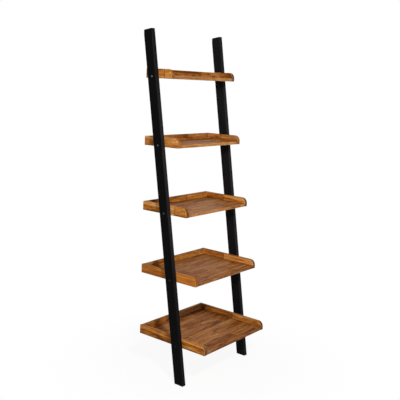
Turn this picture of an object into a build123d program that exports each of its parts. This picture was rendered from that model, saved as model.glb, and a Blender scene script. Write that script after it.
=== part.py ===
from build123d import *
import math
import os

# Ladder shelf: two rails lean back against a wall and carry trays that get deeper towards the floor.
# Sizes are millimetres. +X is the shelf's right, +Y its back, at the wall, and +Z is up.
# The origin is on the floor, in the middle of the shelf's box.

# Whole shelf
HEIGHT = 1829.0  # floor to the highest corner of the rails
LEAN = 9.0  # degrees that the rails lean back from upright
TRAY_WIDTH = 533.0  # across a tray, which fills the space between the rails
TRAY_DEPTHS = (171.0, 230.0, 302.0, 380.0, 457.0)  # wall to front edge, top tray first
LOWEST_TRAY = 197.0  # floor to the underside of the lowest tray
TRAY_PITCH = 346.3  # underside of one tray to the underside of the next

# Rails
RAIL_THICKNESS = 25.4
RAIL_DEPTH = 55.5  # square to the rail's length
RAIL_EASE = 1.5  # rounding of the long edges
WALL_FLAT = 27.0  # height of the upright cut that rests against the wall

# Trays
PANEL_THICKNESS = 16.0
LIP_HEIGHT = 47.0  # from the tray's underside
LIP_THICKNESS = 19.0
LIP_NOSE_RADIUS = 30.0  # rounded front top corner of a side lip
TRAY_EASE = 2.0  # rounding of the tray's edges

# Bolts, washers and barrel nuts, one of each at each end of a tray
BOLT_DIAMETER = 6.0
BOLT_TIP = 2.0  # how far a bolt stands out past its barrel nut
HEAD_DIAMETER = 10.5
HEAD_HEIGHT = 3.3
HEAD_ROUND = 2.2  # rounding of the button head
HEAD_SINK = 0.1  # head below the rail's face
SOCKET_WIDTH = 4.0  # across the flats
SOCKET_DEPTH = 2.0
WASHER_DIAMETER = 12.0
WASHER_THICKNESS = 1.6
NUT_DIAMETER = 10.0
NUT_LENGTH = 11.0
NUT_INSET = 32.0  # from the panel's end to the middle of the nut

# Dowels
DOWEL_DIAMETER = 8.0
LIP_DOWEL_IN_LIP = 12.0
LIP_DOWEL_IN_PANEL = 23.0
LIP_DOWEL_FROM_FRONT = 40.0  # from the tray's front edge
LIP_DOWEL_FROM_BACK = 20.0  # from the panel's back edge
LOCATOR_IN_RAIL = 12.0
LOCATOR_IN_PANEL = 9.0
LOCATOR_FROM_BOLT = 16.0  # in front of the bolt

# Clearances, all on the radius except the last one
BOLT_CLEARANCE = 0.3
THREAD_CLEARANCE = 0.05
RECESS_CLEARANCE = 0.5
WASHER_CLEARANCE = 0.2
NUT_CLEARANCE = 0.1
DOWEL_CLEARANCE = 0.1
BLIND_CLEARANCE = 0.5  # past the end of what goes into a blind hole

# Sizes that follow from those above
SIDES = (-1, 1)
SIDE_NAMES = {-1: "left", 1: "right"}
TIERS = range(1, len(TRAY_DEPTHS) + 1)
WALL_Y = max(TRAY_DEPTHS) / 2
INNER_WIDTH = TRAY_WIDTH - 2 * LIP_THICKNESS
RAIL_OUTER_X = TRAY_WIDTH / 2 + RAIL_THICKNESS

LEAN_SLOPE = math.tan(math.radians(LEAN))
RAIL_SPAN = RAIL_DEPTH / math.cos(math.radians(LEAN))  # the rail's depth, measured level
RAIL_AXIS = Axis((0, 0, 0), (0, LEAN_SLOPE, 1))
FLAT_DROP = (WALL_FLAT + RAIL_SPAN * LEAN_SLOPE) / (1 + LEAN_SLOPE**2)
FLAT_LOW = HEIGHT - FLAT_DROP
FOOT_FRONT = WALL_Y - RAIL_SPAN - FLAT_LOW * LEAN_SLOPE

RECESS_DEPTH = WASHER_THICKNESS + HEAD_HEIGHT + HEAD_SINK
BOLT_IN_PANEL = NUT_INSET + NUT_DIAMETER / 2 + BOLT_TIP
BOLT_LENGTH = WASHER_THICKNESS + RAIL_THICKNESS - RECESS_DEPTH + LIP_THICKNESS + BOLT_IN_PANEL
BOLT_BORE = BOLT_DIAMETER / 2 + BOLT_CLEARANCE
NUT_BORE = NUT_DIAMETER / 2 + NUT_CLEARANCE
DOWEL_BORE = DOWEL_DIAMETER / 2 + DOWEL_CLEARANCE

ON_TOP = (Align.CENTER, Align.CENTER, Align.MIN)
BELOW = (Align.CENTER, Align.CENTER, Align.MAX)


def underside(tier):
    """Height of a tray's underside."""
    return LOWEST_TRAY + (len(TRAY_DEPTHS) - tier) * TRAY_PITCH


def front(tier):
    """Where a tray's front edge is, from front to back."""
    return WALL_Y - TRAY_DEPTHS[tier - 1]


def fixing_height(tier):
    """Height of the bolts and dowels of a tray: the middle of its panel."""
    return underside(tier) + PANEL_THICKNESS / 2


def bolt_y(tier):
    """A bolt goes through the middle of the leaning rail."""
    return FOOT_FRONT + fixing_height(tier) * LEAN_SLOPE + RAIL_SPAN / 2


def locator_y(tier):
    return bolt_y(tier) - LOCATOR_FROM_BOLT


def lip_dowel_ys(tier):
    panel_back = WALL_Y - LIP_THICKNESS
    return (front(tier) + LIP_DOWEL_FROM_FRONT, panel_back - LIP_DOWEL_FROM_BACK)


def across(x, y, tier, facing):
    """A plane at a tray's fixing height that faces right (1) or left (-1)."""
    return Plane(origin=(x, y, fixing_height(tier)), x_dir=(0, 1, 0), z_dir=(facing, 0, 0))


def save(builder, name):
    builder.part.label = name
    export_step(builder.part, f"parts/{name}.step")


def make_rail(side):
    """A leaning rail: level at the floor, square at its top and upright where it meets the wall."""
    inner_x = side * TRAY_WIDTH / 2
    outer_x = side * RAIL_OUTER_X
    with BuildPart() as rail:
        with BuildSketch(Plane.YZ.offset(inner_x)):
            with BuildLine():
                Polyline(
                    (FOOT_FRONT, 0),
                    (FOOT_FRONT + RAIL_SPAN, 0),
                    (WALL_Y, FLAT_LOW),
                    (WALL_Y, FLAT_LOW + WALL_FLAT),
                    (FOOT_FRONT + HEIGHT * LEAN_SLOPE, HEIGHT),
                    close=True,
                )
            make_face()
        extrude(amount=side * RAIL_THICKNESS)
        fillet(rail.edges().filter_by(RAIL_AXIS), RAIL_EASE)
        with Locations([across(outer_x, bolt_y(tier), tier, side) for tier in TIERS]):
            CounterBoreHole(BOLT_BORE, WASHER_DIAMETER / 2 + RECESS_CLEARANCE, RECESS_DEPTH, RAIL_THICKNESS)
        with Locations([across(inner_x, locator_y(tier), tier, -side) for tier in TIERS]):
            Hole(DOWEL_BORE, LOCATOR_IN_RAIL + BLIND_CLEARANCE)
    save(rail, f"{SIDE_NAMES[side]}_rail")


def make_panel(tier):
    """The tray's floor, between its lips, bored at both ends and from below for its fixings."""
    panel_depth = TRAY_DEPTHS[tier - 1] - LIP_THICKNESS
    end_x = INNER_WIDTH / 2
    with BuildPart() as panel:
        with Locations((0, front(tier) + panel_depth / 2, underside(tier))):
            Box(INNER_WIDTH, panel_depth, PANEL_THICKNESS, align=ON_TOP)
        fillet(panel.edges().filter_by(Axis.X).group_by(Axis.Y)[0], TRAY_EASE)
        with Locations([across(side * end_x, bolt_y(tier), tier, side) for side in SIDES]):
            Hole(BOLT_BORE, BOLT_IN_PANEL + BLIND_CLEARANCE)
        with Locations([across(side * end_x, locator_y(tier), tier, side) for side in SIDES]):
            Hole(DOWEL_BORE, LOCATOR_IN_PANEL + BLIND_CLEARANCE)
        with Locations([across(side * end_x, y, tier, side) for side in SIDES for y in lip_dowel_ys(tier)]):
            Hole(DOWEL_BORE, LIP_DOWEL_IN_PANEL + BLIND_CLEARANCE)
        nut_top = fixing_height(tier) + NUT_LENGTH / 2 + NUT_CLEARANCE
        with Locations([(side * (end_x - NUT_INSET), bolt_y(tier), underside(tier)) for side in SIDES]):
            Cylinder(NUT_BORE, nut_top - underside(tier), align=ON_TOP, mode=Mode.SUBTRACT)
    save(panel, f"tier{tier}_panel")


def make_side_lip(tier, side):
    """A side lip, as high as the tray, whose front top corner is a quarter round."""
    depth = TRAY_DEPTHS[tier - 1]
    outer_x = side * TRAY_WIDTH / 2
    inner_x = side * INNER_WIDTH / 2
    with BuildPart() as lip:
        with BuildSketch(Plane.YZ.offset(outer_x)) as outline:
            with Locations((front(tier) + depth / 2, underside(tier) + LIP_HEIGHT / 2)):
                Rectangle(depth, LIP_HEIGHT)
            nose = outline.vertices().group_by(Axis.X)[0].sort_by(Axis.Y)[-1]
            fillet(nose, LIP_NOSE_RADIUS)
        extrude(amount=-side * LIP_THICKNESS)
        rims = lip.faces().filter_by(Axis.X).edges()
        fillet(rims - rims.group_by(Axis.Z)[0] - rims.group_by(Axis.Y)[-1], TRAY_EASE)
        with Locations(across(outer_x, bolt_y(tier), tier, side)):
            Hole(BOLT_BORE, LIP_THICKNESS)
        with Locations(across(outer_x, locator_y(tier), tier, side)):
            Hole(DOWEL_BORE, LIP_THICKNESS)
        with Locations([across(inner_x, y, tier, -side) for y in lip_dowel_ys(tier)]):
            Hole(DOWEL_BORE, LIP_DOWEL_IN_LIP + BLIND_CLEARANCE)
    save(lip, f"tier{tier}_{SIDE_NAMES[side]}_lip")


def make_back_lip(tier):
    """The back lip, glued behind the panel and between the side lips."""
    with BuildPart() as lip:
        with Locations((0, WALL_Y - LIP_THICKNESS / 2, underside(tier))):
            Box(INNER_WIDTH, LIP_THICKNESS, LIP_HEIGHT, align=ON_TOP)
        fillet(lip.edges().filter_by(Axis.X).group_by(Axis.Z)[-1], TRAY_EASE)
    save(lip, f"tier{tier}_back_lip")


def make_bolts(tier):
    """Button head bolts, sunk in the rails, that reach into the panel's barrel nuts."""
    seat_x = RAIL_OUTER_X - RECESS_DEPTH + WASHER_THICKNESS
    head_x = seat_x + HEAD_HEIGHT
    with BuildPart() as bolts:
        with Locations([across(side * seat_x, bolt_y(tier), tier, side) for side in SIDES]):
            Cylinder(HEAD_DIAMETER / 2, HEAD_HEIGHT, align=ON_TOP)
            Cylinder(BOLT_DIAMETER / 2, BOLT_LENGTH, align=BELOW)
        rims = bolts.edges().group_by(Axis.X)
        fillet(rims[0] + rims[-1], HEAD_ROUND)
        for side in SIDES:
            with BuildSketch(across(side * head_x, bolt_y(tier), tier, side)):
                RegularPolygon(SOCKET_WIDTH / 2, 6, major_radius=False)
            extrude(amount=-SOCKET_DEPTH, mode=Mode.SUBTRACT)
    save(bolts, f"tier{tier}_bolts")


def make_washers(tier):
    """A plain washer between each bolt head and the floor of its recess."""
    recess_x = RAIL_OUTER_X - RECESS_DEPTH
    with BuildPart() as washers:
        for side in SIDES:
            with BuildSketch(across(side * recess_x, bolt_y(tier), tier, side)):
                Circle(WASHER_DIAMETER / 2)
                Circle(BOLT_DIAMETER / 2 + WASHER_CLEARANCE, mode=Mode.SUBTRACT)
            extrude(amount=WASHER_THICKNESS)
    save(washers, f"tier{tier}_washers")


def make_barrel_nuts(tier):
    """Barrel nuts, which lie across the bolts inside the panel."""
    nut_x = INNER_WIDTH / 2 - NUT_INSET
    with BuildPart() as nuts:
        with Locations([(side * nut_x, bolt_y(tier), fixing_height(tier)) for side in SIDES]):
            Cylinder(NUT_DIAMETER / 2, NUT_LENGTH)
        with Locations([across(side * nut_x, bolt_y(tier), tier, side) for side in SIDES]):
            Cylinder(BOLT_DIAMETER / 2 + THREAD_CLEARANCE, NUT_DIAMETER, mode=Mode.SUBTRACT)
    save(nuts, f"tier{tier}_barrel_nuts")


def make_locating_dowels(tier):
    """Dowels from the rails, through the side lips, into the panel, so that the tray can't turn."""
    end_x = TRAY_WIDTH / 2 + LOCATOR_IN_RAIL
    length = LOCATOR_IN_RAIL + LIP_THICKNESS + LOCATOR_IN_PANEL
    with BuildPart() as dowels:
        with Locations([across(side * end_x, locator_y(tier), tier, side) for side in SIDES]):
            Cylinder(DOWEL_DIAMETER / 2, length, align=BELOW)
    save(dowels, f"tier{tier}_locating_dowels")


def make_lip_dowels(tier):
    """Glued dowels between the side lips and the panel's ends."""
    end_x = INNER_WIDTH / 2 + LIP_DOWEL_IN_LIP
    length = LIP_DOWEL_IN_LIP + LIP_DOWEL_IN_PANEL
    with BuildPart() as dowels:
        with Locations([across(side * end_x, y, tier, side) for side in SIDES for y in lip_dowel_ys(tier)]):
            Cylinder(DOWEL_DIAMETER / 2, length, align=BELOW)
    save(dowels, f"tier{tier}_lip_dowels")


os.makedirs("parts", exist_ok=True)
for side in SIDES:
    make_rail(side)
for tier in TIERS:
    make_panel(tier)
    for side in SIDES:
        make_side_lip(tier, side)
    make_back_lip(tier)
    make_bolts(tier)
    make_washers(tier)
    make_barrel_nuts(tier)
    make_locating_dowels(tier)
    make_lip_dowels(tier)
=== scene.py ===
import bpy
import math
from mathutils import Euler, Matrix, Vector


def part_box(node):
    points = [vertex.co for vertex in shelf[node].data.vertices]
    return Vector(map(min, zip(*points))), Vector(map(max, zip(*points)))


# Ladder shelf: two black rails lean against a wall and carry five trays of oiled hardwood.
# The frame is in metres, +X right, +Y back and +Z up. The finishes measure in millimetres.

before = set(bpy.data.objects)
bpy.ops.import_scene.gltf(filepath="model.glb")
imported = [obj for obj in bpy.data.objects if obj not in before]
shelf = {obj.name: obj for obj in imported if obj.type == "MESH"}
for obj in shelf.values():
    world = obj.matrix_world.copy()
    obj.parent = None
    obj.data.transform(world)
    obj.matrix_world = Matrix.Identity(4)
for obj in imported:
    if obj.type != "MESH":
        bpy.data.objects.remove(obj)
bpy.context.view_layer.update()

TIERS = range(1, 6)  # from the top tray down
MM = 1000.0  # millimetres in a metre
LEAN = math.radians(9.0)  # of the rails, backwards

# Where the camera stands, in metres, and how far it is turned to the right, dipped and rolled.
# The lens and the sensor are in millimetres.
CAMERA_PLACE = Vector((-2.76069, -2.16006, 1.55666))
CAMERA_TURN = math.radians(51.2518)
CAMERA_DIP = math.radians(9.9424)
CAMERA_ROLL = math.radians(2.3152)
LENS = 59.0605
SENSOR = 36.0

# Turns that bring the grain along X: none for a piece that runs from left to right, and a quarter for one
# that runs from back to front
STRAIGHT = (0.0, 0.0, 0.0)
SIDEWAYS = (0.0, 0.0, math.radians(-90.0))

# How fast each pattern of the wood changes in a millimetre along, across and through the grain
RING_GRAIN = (0.05, 1.0, 1.0)
FIGURE_GRAIN = (0.0045, 0.034, 0.034)
STREAK_GRAIN = (0.006, 0.085, 0.085)
MOTTLE_GRAIN = (0.028, 0.11, 0.11)
FIBRE_GRAIN = (0.02, 0.8, 0.8)
PORE_GRAIN = (0.09, 2.4, 2.4)
HEART_WAVER = (0.012, 0.05, 0.05)
SPLIT_WAVER = (0.008, 0.03, 0.03)
BEECH_GRAIN = (0.06, 1.4, 1.4)
LOG_SIZE = (900.0, 260.0, 260.0)  # millimetres of the log that all pieces are cut from

# How much the broad figure and the streaks change the tone. Mottle changes it by 1.
FIGURE_STRENGTH = 1.5
STREAK_STRENGTH = 1.7
FINE_MIDDLE = 1.35  # of streaks and mottle together
TONE_SHIFT = 0.25  # brings the middle of the figure to the middle of the tones

# Colours of the wood, from heartwood to sapwood, and of what lies on it, with how much each covers
WOOD_TONES = (
    (0.0, (0.100, 0.027, 0.003)),
    (0.25, (0.25, 0.075, 0.008)),
    (0.5, (0.40, 0.138, 0.019)),
    (0.75, (0.53, 0.210, 0.038)),
    (1.0, (0.66, 0.320, 0.098)),
)
RING_BROWN = (0.19, 0.055, 0.009)
RING_COVER = 0.42
PORE_BROWN = (0.09, 0.030, 0.008)
PORE_COVER = 0.45
HEART_BROWN = (0.085, 0.026, 0.007)
HEART_COVER = 0.72
GLUE_BROWN = (0.05, 0.018, 0.006)
GLUE_COVER = 0.75
# Painted shade, with some dirt, and a darker top
SHADE_AND_DIRT_BROWN = (0.055, 0.024, 0.009)
SHADE_AND_DIRT_COVER = 0.6
WARM_TINT = (1.0, 0.86, 0.66)
# A grey painted sheen, laid on the lighter wood
PAINTED_SHEEN_GREY = (0.19, 0.18, 0.135)
END_BROWN = (0.055, 0.028, 0.012)
OIL_BROWN = (0.09, 0.032, 0.010)
# Bare wood on worn long edges, and a pale painted highlight on the noses
BARE_WOOD_AND_HIGHLIGHT = (0.62, 0.37, 0.18)
WOOD_GLOSS = 0.045
WOOD_ROUGHNESS = 0.36
BEECH_TONES = ((0.3, (0.42, 0.25, 0.12)), (0.7, (0.62, 0.42, 0.24)))
BEECH_ROUGHNESS = 0.5

# Where marks on the wood begin to fade and where they end, in millimetres from what each belongs to
GLUE_REACH = (0.2, 0.9)
HEART_REACH = (0.0, 6.0)
VEIN_REACH = (0.5, 4.0)
SPLIT_REACH = (-3.0, 3.0)
# Painted shade, with some dirt, in the corners of the panels and at the ends of the back lips
CORNER_SHADE_AND_DIRT = (0.5, 7.0)
WIDE_CORNER_SHADE = (0.5, 30.0)
END_CORNER_SHADE = (15.0, 80.0)
PALE_END = (20.0, 27.0)

# The same, in millimetres above a lip's lower edge
# Painted shade along a lip's lower edge, and along the panel with some dirt
LOWER_EDGE_SHADE = (0.3, 4.0)
PANEL_CREASE_SHADE_AND_DIRT = (16.2, 18.5)
NOSE_RISE = (10.0, 30.0)  # here the painted highlight of the nose begins to grow, and is full

# Staves of the panels, in millimetres
STAVE_WIDTH = 44.0
STAVE_LENGTH = 300.0
FIRST_STAVE = 16.0  # missing from the first stave at the front edge
HEART_WIDTH = 13.0  # of the widest strip of heartwood along a stave
LEAST_HEART = 0.1  # keeps the width above 0
HEART_WANDER = 12.0  # from side to side
STAVE_CONTRAST = 0.41  # how much the staves' tones differ
PANEL_STREAKS = 0.8  # how strong the streaks in a stave are
ROW_SHIFT = 7.3  # staves that a row can be shifted by
LENGTH_SWING = 0.22  # how much the staves' lengths differ
SWING_RATE = 2.3  # how fast they differ from stave to stave

# The panel of each tier. Cut is its place in the log, and tone how light it is. Bloom is a grey painted
# sheen on its top. Its front edge is lighter by front_painted_light, painted light, and has its own painted
# sheen, front_painted_sheen. Rim_wear bares its long edges.
PANELS = {
    1: dict(cut=91.0, tone=-0.1, front_painted_light=0.26, painted_sheen=0.3, front_painted_sheen=0.3, rim_wear=0.55),
    2: dict(cut=636.0, tone=-0.1, front_painted_light=0.3, painted_sheen=0.0, front_painted_sheen=0.25, rim_wear=0.5),
    3: dict(cut=468.0, tone=-0.07, front_painted_light=0.08, painted_sheen=0.3, front_painted_sheen=0.25, rim_wear=0.4),
    4: dict(cut=768.0, tone=-0.08, front_painted_light=-0.02, painted_sheen=0.32, front_painted_sheen=0.5, rim_wear=0.2),
    5: dict(cut=795.0, tone=-0.16, front_painted_light=0.04, painted_sheen=0.28, front_painted_sheen=0.8, rim_wear=0.15),
}

# The lips of each tier. Cut is a lip's place in the log. Its pieces are glued end to end at the joints,
# which are millimetres from its left or back end. Tones and warmths say how light and how orange each
# piece is, and streaks how strong the streaks are. Bloom is a grey painted sheen. End_tan darkens the end
# grain, and nose_highlight paints a pale highlight on the edges of the nose. Below the split, in
# millimetres above the lower edge, the wood is lighter by lower_tone, and a dark vein may run along the
# split.
# Top_dirt darkens the top, and corner_shade paints shade at the left or back end, where corner_light makes
# the wood paler.
BACK_LIPS = {
    1: dict(cut=910.0, joints=(400.0,), tones=(-0.3, -0.02), painted_sheen=0.15, top_darkening=0.4),
    2: dict(cut=920.0, joints=(305.0,), tones=(-0.13, -0.07), painted_sheen=0.1, top_darkening=0.6),
    3: dict(cut=430.0, joints=(130.0, 320.0), tones=(-0.2, -0.08, 0.08), top_darkening=0.7, corner_shade=0.6),
    4: dict(cut=540.0, joints=(185.0,), tones=(0.02, 0.1), top_darkening=0.7, corner_shade=0.8),
    # The right piece of tier 5's back lip is painted lighter, where the tray above shades it
    5: dict(cut=950.0, joints=(245.0,), tones=(0.1, 0.36), top_darkening=0.7, corner_shade=0.9),
}
LEFT_LIPS = {
    1: dict(cut=313.0, joints=(125.0,), tones=(0.03, 0.1), nose_highlight=0.1),
    2: dict(cut=923.0, joints=(60.0,), tones=(0.0, 0.2), end_tan=0.3, nose_highlight=0.55, painted_sheen=0.1),
    3: dict(cut=733.0, joints=(150.0, 222.0), tones=(0.22, 0.4, 0.08), end_tan=0.75, nose_highlight=0.5,
            lower_tone=-0.3, vein=0.5),
    4: dict(cut=443.0, joints=(205.0,), tones=(-0.12, 0.22), warmths=(0.1, 0.8), nose_highlight=0.25,
            streaks=0.55),
    5: dict(cut=353.0, joints=(260.0,), tones=(-0.06, 0.08), end_tan=0.65, nose_highlight=0.6,
            lower_tone=-0.16, vein=0.5),
}
RIGHT_LIPS = {
    1: dict(cut=1016.0, joints=(90.0,), tones=(0.05, -0.05), end_tan=0.8, nose_highlight=0.4,
            painted_sheen=0.25, top_darkening=0.4),
    2: dict(cut=826.0, joints=(110.0,), tones=(0.08, 0.3), end_tan=0.45, nose_highlight=0.3,
            painted_sheen=0.1, top_darkening=0.6, corner_light=0.5, lower_tone=-0.25, split=28.0),
    3: dict(cut=636.0, joints=(145.0,), tones=(0.08, 0.48), warmths=(0.4, 0.6), end_tan=0.85, nose_highlight=0.5,
            top_darkening=0.7, corner_light=0.5, lower_tone=-0.28, split=31.0),
    4: dict(cut=546.0, joints=(168.0,), tones=(0.2, 0.5), warmths=(0.4, 0.9), end_tan=0.85, nose_highlight=0.4,
            top_darkening=0.9, corner_light=0.4),
    5: dict(cut=956.0, joints=(45.0, 250.0), tones=(-0.25, 0.05, 0.3), end_tan=0.85, nose_highlight=0.4,
            top_darkening=0.7, corner_light=0.4, lower_tone=-0.3, split=33.0),
}
NO_WARMTH = (0.0, 0.0, 0.0)
FAR_OFF = 900.0  # millimetres, more than any lip is long
SPLIT_WANDER = 14.0  # millimetres up and down

# Black paint of the rails, where it is thick and thin, with a painted highlight on the front and worn edges
LEFT_PAINT = dict(thick=(0.0012, 0.0011, 0.0013), thin=(0.0030, 0.0026, 0.0028))
# The right rail's black is lighter, as painted light
RIGHT_PAINT_PAINTED_LIGHTER = dict(thick=(0.0044, 0.0040, 0.0042), thin=(0.0100, 0.0091, 0.0096))
FRONT_HIGHLIGHT_GREY = (0.020, 0.018, 0.018)
WORN_BLACK = (0.035, 0.031, 0.029)
PAINT_GLOSS = 0.022
PAINT_ROUGHNESS = 0.26
PAINT_GRAIN = (0.5, 0.5, 0.012)
PAINT_CLOUD = (0.02, 0.02, 0.006)
HIGHLIGHT_BEGIN = (300.0, 900.0)  # millimetres up the rail over which the front's painted highlight sets in
HIGHLIGHT_END = (1250.0, 1800.0)  # and over which it dies away

# How bright the steel is, on each tier's bolts and out of sight. Lower tiers' bolts are darker, as painted
# shade
BOLT_SHINE_AND_PAINTED_SHADE = {1: 0.22, 2: 0.15, 3: 0.1, 4: 0.045, 5: 0.02}
HIDDEN_SHINE = 0.1
STEEL_ROUGHNESS = 0.18
STEEL_LINES = (0.6, 0.6, 9.0)

# Light from all round, and the floor: its size in metres, its grey, and the least share of pure white in it
SOFT_LIGHT = 0.2
FLOOR_RADIUS = 14.0
FLOOR_GREY = 0.86
NEAR_WHITE = 0.92


def join(tree, value, socket):
    """Sets an input to a number or colour, or joins another node's socket to it."""
    if isinstance(value, bpy.types.NodeSocket):
        tree.links.new(value, socket)
    else:
        socket.default_value = value


def put(tree, kind, values=None, **settings):
    """Adds a node. The values go to its inputs, by name or number."""
    node = tree.nodes.new("ShaderNode" + kind)
    for name, setting in settings.items():
        setattr(node, name, setting)
    for name, value in (values or {}).items():
        join(tree, value, node.inputs[name])
    return node


def calc(tree, operation, *values, clamp=False):
    """One step of arithmetic on numbers or sockets."""
    return put(tree, "Math", dict(enumerate(values)), operation=operation, use_clamp=clamp).outputs[0]


def calc3(tree, operation, *values):
    """One step of arithmetic on vectors."""
    return put(tree, "VectorMath", dict(enumerate(values)), operation=operation).outputs["Vector"]


def split_axes(tree, vector):
    """The X, Y and Z of a vector."""
    return put(tree, "SeparateXYZ", {"Vector": vector}).outputs


def fade(tree, value, start, end, first=0.0, last=1.0):
    """Goes smoothly from first to last while the value goes from start to end."""
    values = {"Value": value, "From Min": start, "From Max": end, "To Min": first, "To Max": last}
    return put(tree, "MapRange", values, interpolation_type="SMOOTHSTEP").outputs["Result"]


def noise(tree, place, scale, detail, roughness=0.5, distortion=0.0):
    """Cloudy noise from 0 to 1."""
    values = {"Vector": place, "Scale": scale, "Detail": detail, "Roughness": roughness,
              "Distortion": distortion}
    return put(tree, "TexNoise", values).outputs["Fac"]


def stretched_noise(tree, place, stretch, detail, roughness=0.6, distortion=0.0):
    """Noise that is drawn out along the grain."""
    drawn = calc3(tree, "MULTIPLY", place, stretch)
    return noise(tree, drawn, 1.0, detail, roughness, distortion)


def shade(tree, value, *stops):
    """A colour ramp. Each stop is a place from 0 to 1 and a colour."""
    ramp = put(tree, "ValToRGB", {"Fac": value})
    while len(ramp.color_ramp.elements) < len(stops):
        ramp.color_ramp.elements.new(1.0)
    for element, (place, colour) in zip(ramp.color_ramp.elements, stops):
        element.position = place
        element.color = (*colour, 1.0)
    return ramp.outputs["Color"]


def mingle(tree, share, below, colour, blend="MIX"):
    """Lays a share of a colour over the socket of the colour below."""
    node = put(tree, "Mix", {"Factor": share}, data_type="RGBA", blend_type=blend)
    join(tree, below, node.inputs[6])
    join(tree, (*colour, 1.0), node.inputs[7])
    return node.outputs[2]


def place_in_mm(tree, turn=STRAIGHT, middle=Vector()):
    """Where a point is, in millimetres from the middle and turned along the grain."""
    point = put(tree, "TexCoord").outputs["Object"]
    values = {"Vector": point, "Location": -middle, "Rotation": turn, "Scale": (MM, MM, MM)}
    return put(tree, "Mapping", values).outputs["Vector"]


def way_it_faces(tree, turn=STRAIGHT):
    """The way a surface faces, turned along the grain."""
    normal = put(tree, "TexCoord").outputs["Normal"]
    values = {"Vector": normal, "Rotation": turn}
    return put(tree, "Mapping", values, vector_type="VECTOR").outputs["Vector"]


def blank_finish(name):
    """A material with no nodes yet."""
    finish = bpy.data.materials.new(name)
    finish.use_nodes = True
    finish.node_tree.nodes.clear()
    return finish, finish.node_tree


def new_finish(name):
    """A material with its shader, ready for nodes."""
    finish, tree = blank_finish(name)
    shader = put(tree, "BsdfPrincipled")
    put(tree, "OutputMaterial", {"Surface": shader.outputs["BSDF"]})
    return finish, tree, shader


def add_relief(tree, shader, height, strength, depth):
    """Fine relief on a surface. Its depth is in metres."""
    relief = put(tree, "Bump", {"Height": height, "Strength": strength, "Distance": depth})
    tree.links.new(relief.outputs["Normal"], shader.inputs["Normal"])


def coat(node_name, finish):
    """Gives a CAD piece its finish."""
    for slot in shelf[node_name].material_slots:
        slot.material = finish


def grow_grain(tree, log):
    """The patterns of the wood at a place in the log, each from 0 to 1."""
    ring_values = {"Vector": calc3(tree, "MULTIPLY", log, RING_GRAIN), "Scale": 0.036, "Distortion": 7.0,
                   "Detail": 2.0, "Detail Scale": 0.9, "Detail Roughness": 0.55}
    rings = put(tree, "TexWave", ring_values, wave_type="RINGS", rings_direction="X", wave_profile="SAW")
    pores = stretched_noise(tree, log, PORE_GRAIN, detail=1.0)
    return dict(
        rings=rings.outputs["Fac"],
        figure=stretched_noise(tree, log, FIGURE_GRAIN, detail=2.0, distortion=0.9),
        streaks=stretched_noise(tree, log, STREAK_GRAIN, detail=3.0, distortion=0.6),
        mottle=stretched_noise(tree, log, MOTTLE_GRAIN, detail=2.0, distortion=0.5),
        fibres=stretched_noise(tree, log, FIBRE_GRAIN, detail=4.0),
        pores=fade(tree, pores, 0.62, 0.72),
    )


def find_edges(tree, given, fibres):
    """End grain; long edges worn bare and nose edges with a painted highlight; long edges dark with oil."""
    facing = split_axes(tree, given["Facing"])
    ahead = calc(tree, "MULTIPLY", facing["X"], facing["X"])
    side = calc(tree, "MULTIPLY", facing["Y"], facing["Y"])
    over = calc(tree, "MULTIPLY", facing["Z"], facing["Z"])
    end_grain = calc(tree, "MULTIPLY", fade(tree, ahead, 0.03, 0.3), fade(tree, side, 0.02, 0.3, 1.0, 0.0))
    turned = calc(tree, "ADD", ahead, over)
    nose_share = fade(tree, calc(tree, "DIVIDE", ahead, calc(tree, "MAXIMUM", turned, 0.01)), 0.02, 0.15)
    edge = fade(tree, calc(tree, "MULTIPLY", turned, side), 0.03, 0.16)
    nose_edge = calc(tree, "MULTIPLY", edge, nose_share)
    long_edge = calc(tree, "SUBTRACT", edge, nose_edge)
    ragged = fade(tree, fibres, 0.3, 0.6)
    worn = calc(tree, "MULTIPLY", calc(tree, "MULTIPLY", long_edge, given["Rim wear"]), ragged)
    # The nose edges get a pale painted highlight
    worn = calc(tree, "MAXIMUM", worn, calc(tree, "MULTIPLY", nose_edge, given["Nose wear"]))
    oiled = calc(tree, "MULTIPLY", long_edge, calc(tree, "SUBTRACT", 0.5, given["Rim wear"], clamp=True))
    return end_grain, worn, oiled


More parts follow.
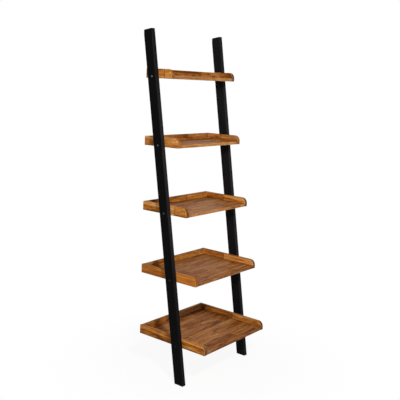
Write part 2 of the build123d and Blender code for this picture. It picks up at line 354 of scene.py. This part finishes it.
def colour_wood(tree, given, grain, end_grain, worn, oiled):
    """The wood's colour, with grain, joints, painted sheen, painted shade, dirt and edges laid on in turn.
    """
    fine = calc(tree, "MULTIPLY_ADD", grain["streaks"], STREAK_STRENGTH, grain["mottle"])
    fine = calc(tree, "SUBTRACT", fine, FINE_MIDDLE)
    tone = calc(tree, "MULTIPLY_ADD", grain["figure"], FIGURE_STRENGTH, given["Tone"])
    tone = calc(tree, "MULTIPLY_ADD", fine, given["Streaks"], tone)
    tone = calc(tree, "SUBTRACT", tone, TONE_SHIFT, clamp=True)
    # Grey painted sheen, on the lighter wood
    painted_sheen_share = calc(tree, "MULTIPLY", given["Bloom"], fade(tree, tone, 0.1, 0.75))
    painted_sheen_share = calc(tree, "MULTIPLY", painted_sheen_share, fade(tree, grain["figure"], 0.3, 0.6, 0.4, 1.0))

    wood = shade(tree, tone, *WOOD_TONES)
    wood = mingle(tree, fade(tree, grain["rings"], 0.35, 1.0, 0.0, RING_COVER), wood, RING_BROWN)
    lightness = calc(tree, "ADD", grain["fibres"], 0.5)
    wood = put(tree, "VectorMath", {0: wood, "Scale": lightness}, operation="SCALE").outputs["Vector"]
    wood = mingle(tree, calc(tree, "MULTIPLY", grain["pores"], PORE_COVER), wood, PORE_BROWN)
    wood = mingle(tree, calc(tree, "MULTIPLY", given["Heart"], HEART_COVER), wood, HEART_BROWN)
    wood = mingle(tree, calc(tree, "MULTIPLY", given["Seam"], GLUE_COVER), wood, GLUE_BROWN)
    wood = mingle(tree, given["Warmth"], wood, WARM_TINT, "MULTIPLY")
    wood = mingle(tree, painted_sheen_share, wood, PAINTED_SHEEN_GREY)
    wood = mingle(tree, calc(tree, "MULTIPLY", given["Grime"], SHADE_AND_DIRT_COVER), wood, SHADE_AND_DIRT_BROWN)
    wood = mingle(tree, calc(tree, "MULTIPLY", end_grain, given["End tan"]), wood, END_BROWN)
    wood = mingle(tree, oiled, wood, OIL_BROWN)
    return mingle(tree, worn, wood, BARE_WOOD_AND_HIGHLIGHT)


def make_hardwood():
    """Oiled hardwood with its grain along the first axis, as a group of nodes.

    Place is measured from the middle of the piece, and Facing is the way its surface faces. Log place
    moves each stave to another part of the log. Tone is how light the stave is, and Streaks how strong its
    streaks are. Seam and Heart say where glue lines and dark heartwood lie, and Grime where painted shade,
    some dirt and a darker top lie. Rim wear bares the long edges, and Nose wear paints a pale highlight on
    the edges of the nose. End tan darkens the end grain, Warmth makes the wood more orange, and Bloom is a
    grey painted sheen.
    """
    tree = bpy.data.node_groups.new("oiled hardwood", "ShaderNodeTree")
    for name in ("Place", "Facing", "Log place"):
        tree.interface.new_socket(name, in_out="INPUT", socket_type="NodeSocketVector")
    for name in ("Tone", "Streaks", "Seam", "Heart", "Grime",
                 "Rim wear", "Nose wear", "End tan", "Warmth", "Bloom"):
        tree.interface.new_socket(name, in_out="INPUT", socket_type="NodeSocketFloat")
    tree.interface.new_socket("Colour", in_out="OUTPUT", socket_type="NodeSocketColor")
    tree.interface.new_socket("Roughness", in_out="OUTPUT", socket_type="NodeSocketFloat")
    tree.interface.new_socket("Height", in_out="OUTPUT", socket_type="NodeSocketFloat")
    given = tree.nodes.new("NodeGroupInput").outputs
    result = tree.nodes.new("NodeGroupOutput").inputs

    log_place = calc3(tree, "MULTIPLY", given["Log place"], LOG_SIZE)
    grain = grow_grain(tree, calc3(tree, "ADD", given["Place"], log_place))
    end_grain, worn, oiled = find_edges(tree, given, grain["fibres"])
    tree.links.new(colour_wood(tree, given, grain, end_grain, worn, oiled), result["Colour"])

    rough = calc(tree, "MULTIPLY_ADD", grain["fibres"], 0.22, WOOD_ROUGHNESS)
    rough = calc(tree, "ADD", rough, calc(tree, "MULTIPLY", grain["pores"], 0.15))
    rough = calc(tree, "ADD", rough, calc(tree, "MULTIPLY", end_grain, 0.15), clamp=True)
    tree.links.new(rough, result["Roughness"])

    height = calc(tree, "MULTIPLY", grain["rings"], -0.12)
    height = calc(tree, "MULTIPLY_ADD", grain["fibres"], 0.35, height)
    height = calc(tree, "SUBTRACT", height, calc(tree, "MULTIPLY", grain["pores"], 0.5))
    height = calc(tree, "SUBTRACT", height, given["Seam"])
    tree.links.new(height, result["Height"])
    return tree


HARDWOOD = make_hardwood()


def start_wood(node_name, turn):
    """A finish for one piece of a tray, with its place, facing and half size turned along the grain."""
    low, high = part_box(node_name)
    turned = Euler(turn).to_matrix()
    middle = turned @ (low + high) * 0.5 * MM
    half = [abs(size) for size in turned @ (high - low) * 0.5 * MM]
    finish, tree, shader = new_finish(node_name.replace("_", " ") + " hardwood")
    coat(node_name, finish)
    return tree, shader, place_in_mm(tree, turn, middle), way_it_faces(tree, turn), half


def end_wood(tree, shader, **settings):
    """Joins the hardwood to the shader. The settings are its inputs, with _ for a space."""
    values = {name.replace("_", " "): setting for name, setting in settings.items()}
    wood = put(tree, "Group", values, node_tree=HARDWOOD).outputs
    tree.links.new(wood["Colour"], shader.inputs["Base Color"])
    tree.links.new(wood["Roughness"], shader.inputs["Roughness"])
    add_relief(tree, shader, wood["Height"], strength=0.35, depth=0.0004)
    shader.inputs["Specular IOR Level"].default_value = WOOD_GLOSS


def glue_line(tree, gap):
    """A thin line where the gap to a joint, in millimetres, is nothing."""
    return fade(tree, gap, *GLUE_REACH, 1.0, 0.0)


def find_stave(tree, axes, half_depth, cut):
    """Where a point is across and along the staves, counted in staves, and what chance gave its stave."""
    across = calc(tree, "DIVIDE", calc(tree, "ADD", axes["Y"], half_depth + FIRST_STAVE), STAVE_WIDTH)
    row = calc(tree, "FLOOR", across)
    row_key = put(tree, "CombineXYZ", {"X": row, "Y": cut}).outputs["Vector"]
    row_chance = put(tree, "TexWhiteNoise", {"Vector": row_key}, noise_dimensions="2D").outputs["Value"]
    along = calc(tree, "DIVIDE", axes["X"], STAVE_LENGTH)
    along = calc(tree, "MULTIPLY_ADD", row_chance, ROW_SHIFT, along)
    swing = calc(tree, "SINE", calc(tree, "MULTIPLY", along, SWING_RATE))
    along = calc(tree, "MULTIPLY_ADD", swing, LENGTH_SWING, along)
    number_in_row = calc(tree, "FLOOR", along)
    stave_key = put(tree, "CombineXYZ", {"X": row, "Y": number_in_row, "Z": cut}).outputs["Vector"]
    chance = put(tree, "TexWhiteNoise", {"Vector": stave_key}, noise_dimensions="3D").outputs
    return across, along, chance


def find_heart(tree, place, across, chance):
    """A wavering strip of dark heartwood along one edge of each stave, wide in some."""
    inward = calc(tree, "MULTIPLY", calc(tree, "FRACT", across), STAVE_WIDTH)
    waver = stretched_noise(tree, place, HEART_WAVER, detail=2.0)
    wander = calc(tree, "MULTIPLY_ADD", waver, HEART_WANDER, -0.5 * HEART_WANDER)
    inward = calc(tree, "ADD", inward, wander)
    green = put(tree, "SeparateColor", {"Color": chance["Color"]}).outputs["Green"]
    width = calc(tree, "MULTIPLY_ADD", fade(tree, green, 0.5, 1.0), HEART_WIDTH, LEAST_HEART)
    return fade(tree, calc(tree, "DIVIDE", inward, width), 0.2, 1.0, 1.0, 0.0)


def finish_panel(tier, cut, tone, front_painted_light, painted_sheen, front_painted_sheen, rim_wear):
    """A panel: staves side by side from left to right, glued end to end in every row."""
    tree, shader, place, facing, half = start_wood(f"tier{tier}_panel", STRAIGHT)
    axes = split_axes(tree, place)
    across, along, chance = find_stave(tree, axes, half[1], cut)
    stave_tone = calc(tree, "MULTIPLY_ADD", chance["Value"], STAVE_CONTRAST, tone - 0.5 * STAVE_CONTRAST)

    # The front edge has its own painted light and painted sheen, and less heartwood
    front = fade(tree, split_axes(tree, facing)["Y"], -0.9, -0.5, 1.0, 0.0)
    stave_tone = calc(tree, "MULTIPLY_ADD", front, front_painted_light, stave_tone)
    painted_sheen_share = calc(tree, "MULTIPLY_ADD", front, front_painted_sheen - painted_sheen, painted_sheen)
    heart = find_heart(tree, place, across, chance)
    heart = calc(tree, "MULTIPLY", heart, calc(tree, "MULTIPLY_ADD", front, -0.7, 1.0))

    # Glue lines between the staves
    side_gap = calc(tree, "MULTIPLY", calc(tree, "PINGPONG", across, 0.5), STAVE_WIDTH)
    end_gap = calc(tree, "MULTIPLY", calc(tree, "PINGPONG", along, 0.5), STAVE_LENGTH)
    seam = glue_line(tree, calc(tree, "MINIMUM", side_gap, end_gap))

    # Painted shade in the corners under the lips, with some dirt
    side_corner = calc(tree, "SUBTRACT", half[0], calc(tree, "ABSOLUTE", axes["X"]))
    back_corner = calc(tree, "SUBTRACT", half[1], axes["Y"])
    corner = calc(tree, "MINIMUM", side_corner, back_corner)
    corner_shade_and_dirt = fade(tree, corner, *CORNER_SHADE_AND_DIRT, 1.0, 0.0)
    wide_corner_shade = fade(tree, corner, *WIDE_CORNER_SHADE, 0.6, 0.0)
    shade_and_dirt = calc(tree, "MAXIMUM", corner_shade_and_dirt, wide_corner_shade)
    end_wood(tree, shader, Place=place, Facing=facing, Log_place=chance["Color"], Tone=stave_tone,
             Streaks=PANEL_STREAKS, Seam=seam, Heart=heart, Grime=shade_and_dirt, Rim_wear=rim_wear, Bloom=painted_sheen_share)


def join_pieces(tree, along, cut, joints, tones, warmths):
    """The pieces of a lip: the one that a point is in, its tone and warmth, and how far off a joint is."""
    number = cut
    tone = tones[0]
    warmth = warmths[0]
    gap = FAR_OFF
    for step, joint in enumerate(joints):
        past = calc(tree, "GREATER_THAN", along, joint)
        number = calc(tree, "ADD", number, past)
        tone = calc(tree, "MULTIPLY_ADD", past, tones[step + 1] - tones[step], tone)
        warmth = calc(tree, "MULTIPLY_ADD", past, warmths[step + 1] - warmths[step], warmth)
        gap = calc(tree, "MINIMUM", gap, calc(tree, "ABSOLUTE", calc(tree, "SUBTRACT", along, joint)))
    return number, tone, warmth, gap


def finish_lip(node_name, turn, inner, cut, joints, tones, warmths=NO_WARMTH, streaks=1.0, painted_sheen=0.0,
               end_tan=0.4, nose_highlight=0.0, split=26.0, lower_tone=0.0, vein=0.0,
               top_darkening=0.0, corner_shade=0.0, corner_light=0.0):
    """A lip: pieces glued end to end. Inner is 1 or -1, the way its inner side faces across the grain."""
    tree, shader, place, facing, half = start_wood(node_name, turn)
    axes = split_axes(tree, place)
    normal = split_axes(tree, facing)
    height = calc(tree, "ADD", axes["Z"], half[2])
    if turn == SIDEWAYS:
        along = calc(tree, "SUBTRACT", half[0], axes["X"])
    else:
        along = calc(tree, "ADD", axes["X"], half[0])
    number, tone, warmth, gap = join_pieces(tree, along, cut, joints, tones, warmths)
    log_place = put(tree, "TexWhiteNoise", {"W": number}, noise_dimensions="1D").outputs["Color"]
    heart = fade(tree, gap, *HEART_REACH, 0.7, 0.0)

    # The lower part, and the vein along the split
    waver = stretched_noise(tree, place, SPLIT_WAVER, detail=2.0)
    above = calc(tree, "MULTIPLY_ADD", waver, SPLIT_WANDER, height)
    above = calc(tree, "SUBTRACT", above, split + 0.5 * SPLIT_WANDER)
    tone = calc(tree, "MULTIPLY_ADD", fade(tree, above, *SPLIT_REACH, 1.0, 0.0), lower_tone, tone)
    heart = calc(tree, "MAXIMUM", heart, fade(tree, calc(tree, "ABSOLUTE", above), *VEIN_REACH, vein, 0.0))

    # Pale wood in the corner. Painted shade, with some dirt, along the panel, under the lower edge and in
    # the corner, and a darker top
    tone = calc(tree, "ADD", tone, fade(tree, along, *PALE_END, corner_light, 0.0))
    inside = calc(tree, "MULTIPLY", normal["Y"], inner, clamp=True)
    shade_and_dirt = calc(tree, "MULTIPLY", fade(tree, height, *PANEL_CREASE_SHADE_AND_DIRT, 1.0, 0.0), inside)
    shade_and_dirt = calc(tree, "MAXIMUM", shade_and_dirt, fade(tree, height, *LOWER_EDGE_SHADE, 0.7, 0.0))
    shade_and_dirt = calc(tree, "MAXIMUM", shade_and_dirt, fade(tree, along, *END_CORNER_SHADE, corner_shade, 0.0))
    shade_and_dirt = calc(tree, "MAXIMUM", shade_and_dirt, fade(tree, normal["Z"], 0.5, 0.95, 0.0, top_darkening))
    # A pale painted highlight on the nose, growing towards the top
    nose_highlight_share = fade(tree, height, *NOSE_RISE, 0.25 * nose_highlight, nose_highlight)
    end_wood(tree, shader, Place=place, Facing=facing, Log_place=log_place, Tone=tone, Streaks=streaks,
             Seam=glue_line(tree, gap), Heart=heart, Grime=shade_and_dirt, Nose_wear=nose_highlight_share, End_tan=end_tan,
             Warmth=warmth, Bloom=painted_sheen)


def finish_trays():
    """Panels have staves from left to right. A lip has its grain along its length."""
    for tier in TIERS:
        finish_panel(tier, **PANELS[tier])
        finish_lip(f"tier{tier}_back_lip", STRAIGHT, -1.0, **BACK_LIPS[tier])
        finish_lip(f"tier{tier}_left_lip", SIDEWAYS, -1.0, **LEFT_LIPS[tier])
        finish_lip(f"tier{tier}_right_lip", SIDEWAYS, 1.0, **RIGHT_LIPS[tier])


def make_black_paint(name, thick, thin):
    """Satin black paint on wood. Grain shows a little; fronts have a painted highlight, edges are worn
    grey.
    """
    finish, tree, shader = new_finish(name)
    place = place_in_mm(tree, (LEAN, 0.0, 0.0))
    grain = stretched_noise(tree, place, PAINT_GRAIN, detail=4.0)
    cloud = stretched_noise(tree, place, PAINT_CLOUD, detail=3.0, roughness=0.5)
    speck = noise(tree, place, scale=1.6, detail=2.0)
    mixture = calc(tree, "MULTIPLY_ADD", grain, 0.5, calc(tree, "MULTIPLY", cloud, 0.5))
    paint = shade(tree, mixture, (0.25, thick), (0.75, thin))

    # The front, greyer as a painted highlight, most in a band up the rail
    facing = split_axes(tree, way_it_faces(tree))
    height = split_axes(tree, place)["Z"]
    highlight_band = fade(tree, height, *HIGHLIGHT_BEGIN)
    highlight_band = calc(tree, "MULTIPLY", highlight_band, fade(tree, height, *HIGHLIGHT_END, 1.0, 0.0))
    front = fade(tree, facing["Y"], -0.95, -0.6, 1.0, 0.0)
    front_highlight = calc(tree, "MULTIPLY", front, calc(tree, "MULTIPLY_ADD", highlight_band, 0.4, 0.22))
    paint = mingle(tree, front_highlight, paint, FRONT_HIGHLIGHT_GREY)

    # The edges, worn in patches
    side = calc(tree, "POWER", calc(tree, "ABSOLUTE", facing["X"]), 2.0)
    edge = calc(tree, "MULTIPLY", calc(tree, "MULTIPLY", side, calc(tree, "SUBTRACT", 1.0, side)), 4.0)
    worn = calc(tree, "MULTIPLY", fade(tree, edge, 0.1, 0.9), fade(tree, cloud, 0.45, 0.65))
    paint = mingle(tree, calc(tree, "MULTIPLY", worn, 0.6), paint, WORN_BLACK)
    tree.links.new(paint, shader.inputs["Base Color"])

    rough = calc(tree, "MULTIPLY_ADD", grain, 0.2, calc(tree, "MULTIPLY_ADD", cloud, 0.2, PAINT_ROUGHNESS))
    tree.links.new(rough, shader.inputs["Roughness"])
    relief = calc(tree, "MULTIPLY_ADD", grain, 0.7, calc(tree, "MULTIPLY", speck, 0.3))
    add_relief(tree, shader, relief, strength=0.35, depth=0.0004)
    shader.inputs["Specular IOR Level"].default_value = PAINT_GLOSS
    return finish


def make_steel(name, shine):
    """Blackened steel, brushed and a little dull. Shine is how much light it throws back."""
    finish, tree, shader = new_finish(name)
    place = place_in_mm(tree)
    cloud = noise(tree, place, scale=0.45, detail=4.0)
    lines = stretched_noise(tree, place, STEEL_LINES, detail=3.0, roughness=0.5)
    dull = (0.5 * shine, 0.5 * shine, 0.52 * shine)
    bright = (shine, shine, 1.05 * shine)
    tree.links.new(shade(tree, cloud, (0.3, dull), (0.7, bright)), shader.inputs["Base Color"])
    rough = calc(tree, "MULTIPLY_ADD", cloud, 0.2, calc(tree, "MULTIPLY_ADD", lines, 0.2, STEEL_ROUGHNESS))
    tree.links.new(rough, shader.inputs["Roughness"])
    add_relief(tree, shader, lines, strength=0.2, depth=0.0001)
    shader.inputs["Metallic"].default_value = 1.0
    return finish


def make_dowel_wood():
    """Pale turned beech with fine fibres along the dowels."""
    finish, tree, shader = new_finish("turned beech")
    fibres = stretched_noise(tree, place_in_mm(tree), BEECH_GRAIN, detail=4.0, roughness=0.5)
    tree.links.new(shade(tree, fibres, *BEECH_TONES), shader.inputs["Base Color"])
    rough = calc(tree, "MULTIPLY_ADD", fibres, 0.2, BEECH_ROUGHNESS)
    tree.links.new(rough, shader.inputs["Roughness"])
    add_relief(tree, shader, fibres, strength=0.3, depth=0.0003)
    return finish


def finish_rails_and_fixings():
    """The right rail's black is lighter, as painted light. Bolts are darker towards the floor, as painted
    shade.
    """
    coat("left_rail", make_black_paint("satin black paint", **LEFT_PAINT))
    coat("right_rail", make_black_paint("satin black paint painted lighter", **RIGHT_PAINT_PAINTED_LIGHTER))
    hidden_steel = make_steel("blackened steel", HIDDEN_SHINE)
    beech = make_dowel_wood()
    for tier in TIERS:
        # Each tier's bolts are darker lower down, as painted shade
        coat(f"tier{tier}_bolts", make_steel(f"tier {tier} blackened steel", BOLT_SHINE_AND_PAINTED_SHADE[tier]))
        for fixing in ("washers", "barrel_nuts"):
            coat(f"tier{tier}_{fixing}", hidden_steel)
        for dowels in ("locating_dowels", "lip_dowels"):
            coat(f"tier{tier}_{dowels}", beech)


def set_camera():
    """The camera stands to the shelf's front left, a little above the middle trays."""
    ahead = Vector((math.sin(CAMERA_TURN) * math.cos(CAMERA_DIP),
                    math.cos(CAMERA_TURN) * math.cos(CAMERA_DIP),
                    -math.sin(CAMERA_DIP)))
    level = Vector((math.cos(CAMERA_TURN), -math.sin(CAMERA_TURN), 0.0))
    rise = level.cross(ahead)
    right = level * math.cos(CAMERA_ROLL) + rise * math.sin(CAMERA_ROLL)
    up = rise * math.cos(CAMERA_ROLL) - level * math.sin(CAMERA_ROLL)
    aim = Matrix((right, up, -ahead)).transposed().to_4x4()
    camera = bpy.data.objects.new("camera", bpy.data.cameras.new("camera"))
    bpy.context.scene.collection.objects.link(camera)
    camera.matrix_world = Matrix.Translation(CAMERA_PLACE) @ aim
    camera.data.sensor_width = SENSOR
    camera.data.lens = LENS
    bpy.context.scene.camera = camera


def hang_lamp(name, place, aim, size, power, mirrored=True):
    """A square soft box that points at aim. One that isn't mirrored leaves no sheen on the wood."""
    lamp = bpy.data.lights.new(name, "AREA")
    lamp.shape = "SQUARE"
    lamp.size = size
    lamp.energy = power
    holder = bpy.data.objects.new(name, lamp)
    bpy.context.scene.collection.objects.link(holder)
    holder.visible_glossy = mirrored
    holder.location = place
    holder.rotation_euler = (Vector(aim) - Vector(place)).to_track_quat("-Z", "Y").to_euler()


def seen_ray(tree):
    """1 for what the camera sees, straight, mirrored or through glass, and 0 for light on the shelf."""
    rays = put(tree, "LightPath").outputs
    seen = calc(tree, "MAXIMUM", rays["Is Camera Ray"], rays["Is Glossy Ray"])
    return calc(tree, "MAXIMUM", seen, rays["Is Transmission Ray"])


def light_studio():
    """Three soft boxes, weak light from all round, and white where the camera looks past the shelf."""
    hang_lamp("front soft box", place=(-1.6, -2.2, 2.6), aim=(0.0, 0.1, 1.2), size=0.3, power=95.0)
    hang_lamp("left soft box", place=(-2.6, -0.9, 2.0), aim=(0.0, 0.1, 1.1), size=1.6, power=22.0)
    hang_lamp("back soft box", place=(2.2, 2.4, 1.5), aim=(0.0, 0.1, 0.9), size=1.6, power=26.0,
              mirrored=False)

    world = bpy.data.worlds.new("studio")
    bpy.context.scene.world = world
    world.use_nodes = True
    tree = world.node_tree
    tree.nodes.clear()
    white = (1.0, 1.0, 1.0, 1.0)
    soft = put(tree, "Background", {"Color": white, "Strength": SOFT_LIGHT}).outputs["Background"]
    bright = put(tree, "Background", {"Color": white, "Strength": 1.0}).outputs["Background"]
    mixed = put(tree, "MixShader", {0: seen_ray(tree), 1: soft, 2: bright}).outputs["Shader"]
    put(tree, "OutputWorld", {"Surface": mixed})


def lay_floor():
    """A pale floor that fades to white and keeps the shelf's shadow. It isn't seen from below."""
    bpy.ops.object.select_all(action="DESELECT")
    bpy.ops.mesh.primitive_circle_add(vertices=96, radius=FLOOR_RADIUS, fill_type="NGON",
                                      location=(0.0, 0.0, 0.0))
    floor = bpy.context.object
    floor.name = "floor"
    finish, tree = blank_finish("pale floor")
    point = put(tree, "TexCoord").outputs["Object"]
    distance = put(tree, "VectorMath", {0: point}, operation="LENGTH").outputs["Value"]
    white_share = calc(tree, "MULTIPLY", seen_ray(tree), fade(tree, distance, 0.3, 1.0, NEAR_WHITE, 1.0))
    matt = put(tree, "BsdfDiffuse", {"Color": (FLOOR_GREY, FLOOR_GREY, FLOOR_GREY, 1.0)}).outputs["BSDF"]
    white = put(tree, "Emission", {"Color": (1.0, 1.0, 1.0, 1.0), "Strength": 1.0}).outputs["Emission"]
    paper = put(tree, "MixShader", {0: white_share, 1: matt, 2: white}).outputs["Shader"]
    clear = put(tree, "BsdfTransparent").outputs["BSDF"]
    below = put(tree, "NewGeometry").outputs["Backfacing"]
    both = put(tree, "MixShader", {0: below, 1: paper, 2: clear}).outputs["Shader"]
    put(tree, "OutputMaterial", {"Surface": both})
    floor.data.materials.append(finish)


set_camera()
finish_trays()
finish_rails_and_fixings()
light_studio()
lay_floor()
bpy.context.scene.view_settings.view_transform = "Standard"
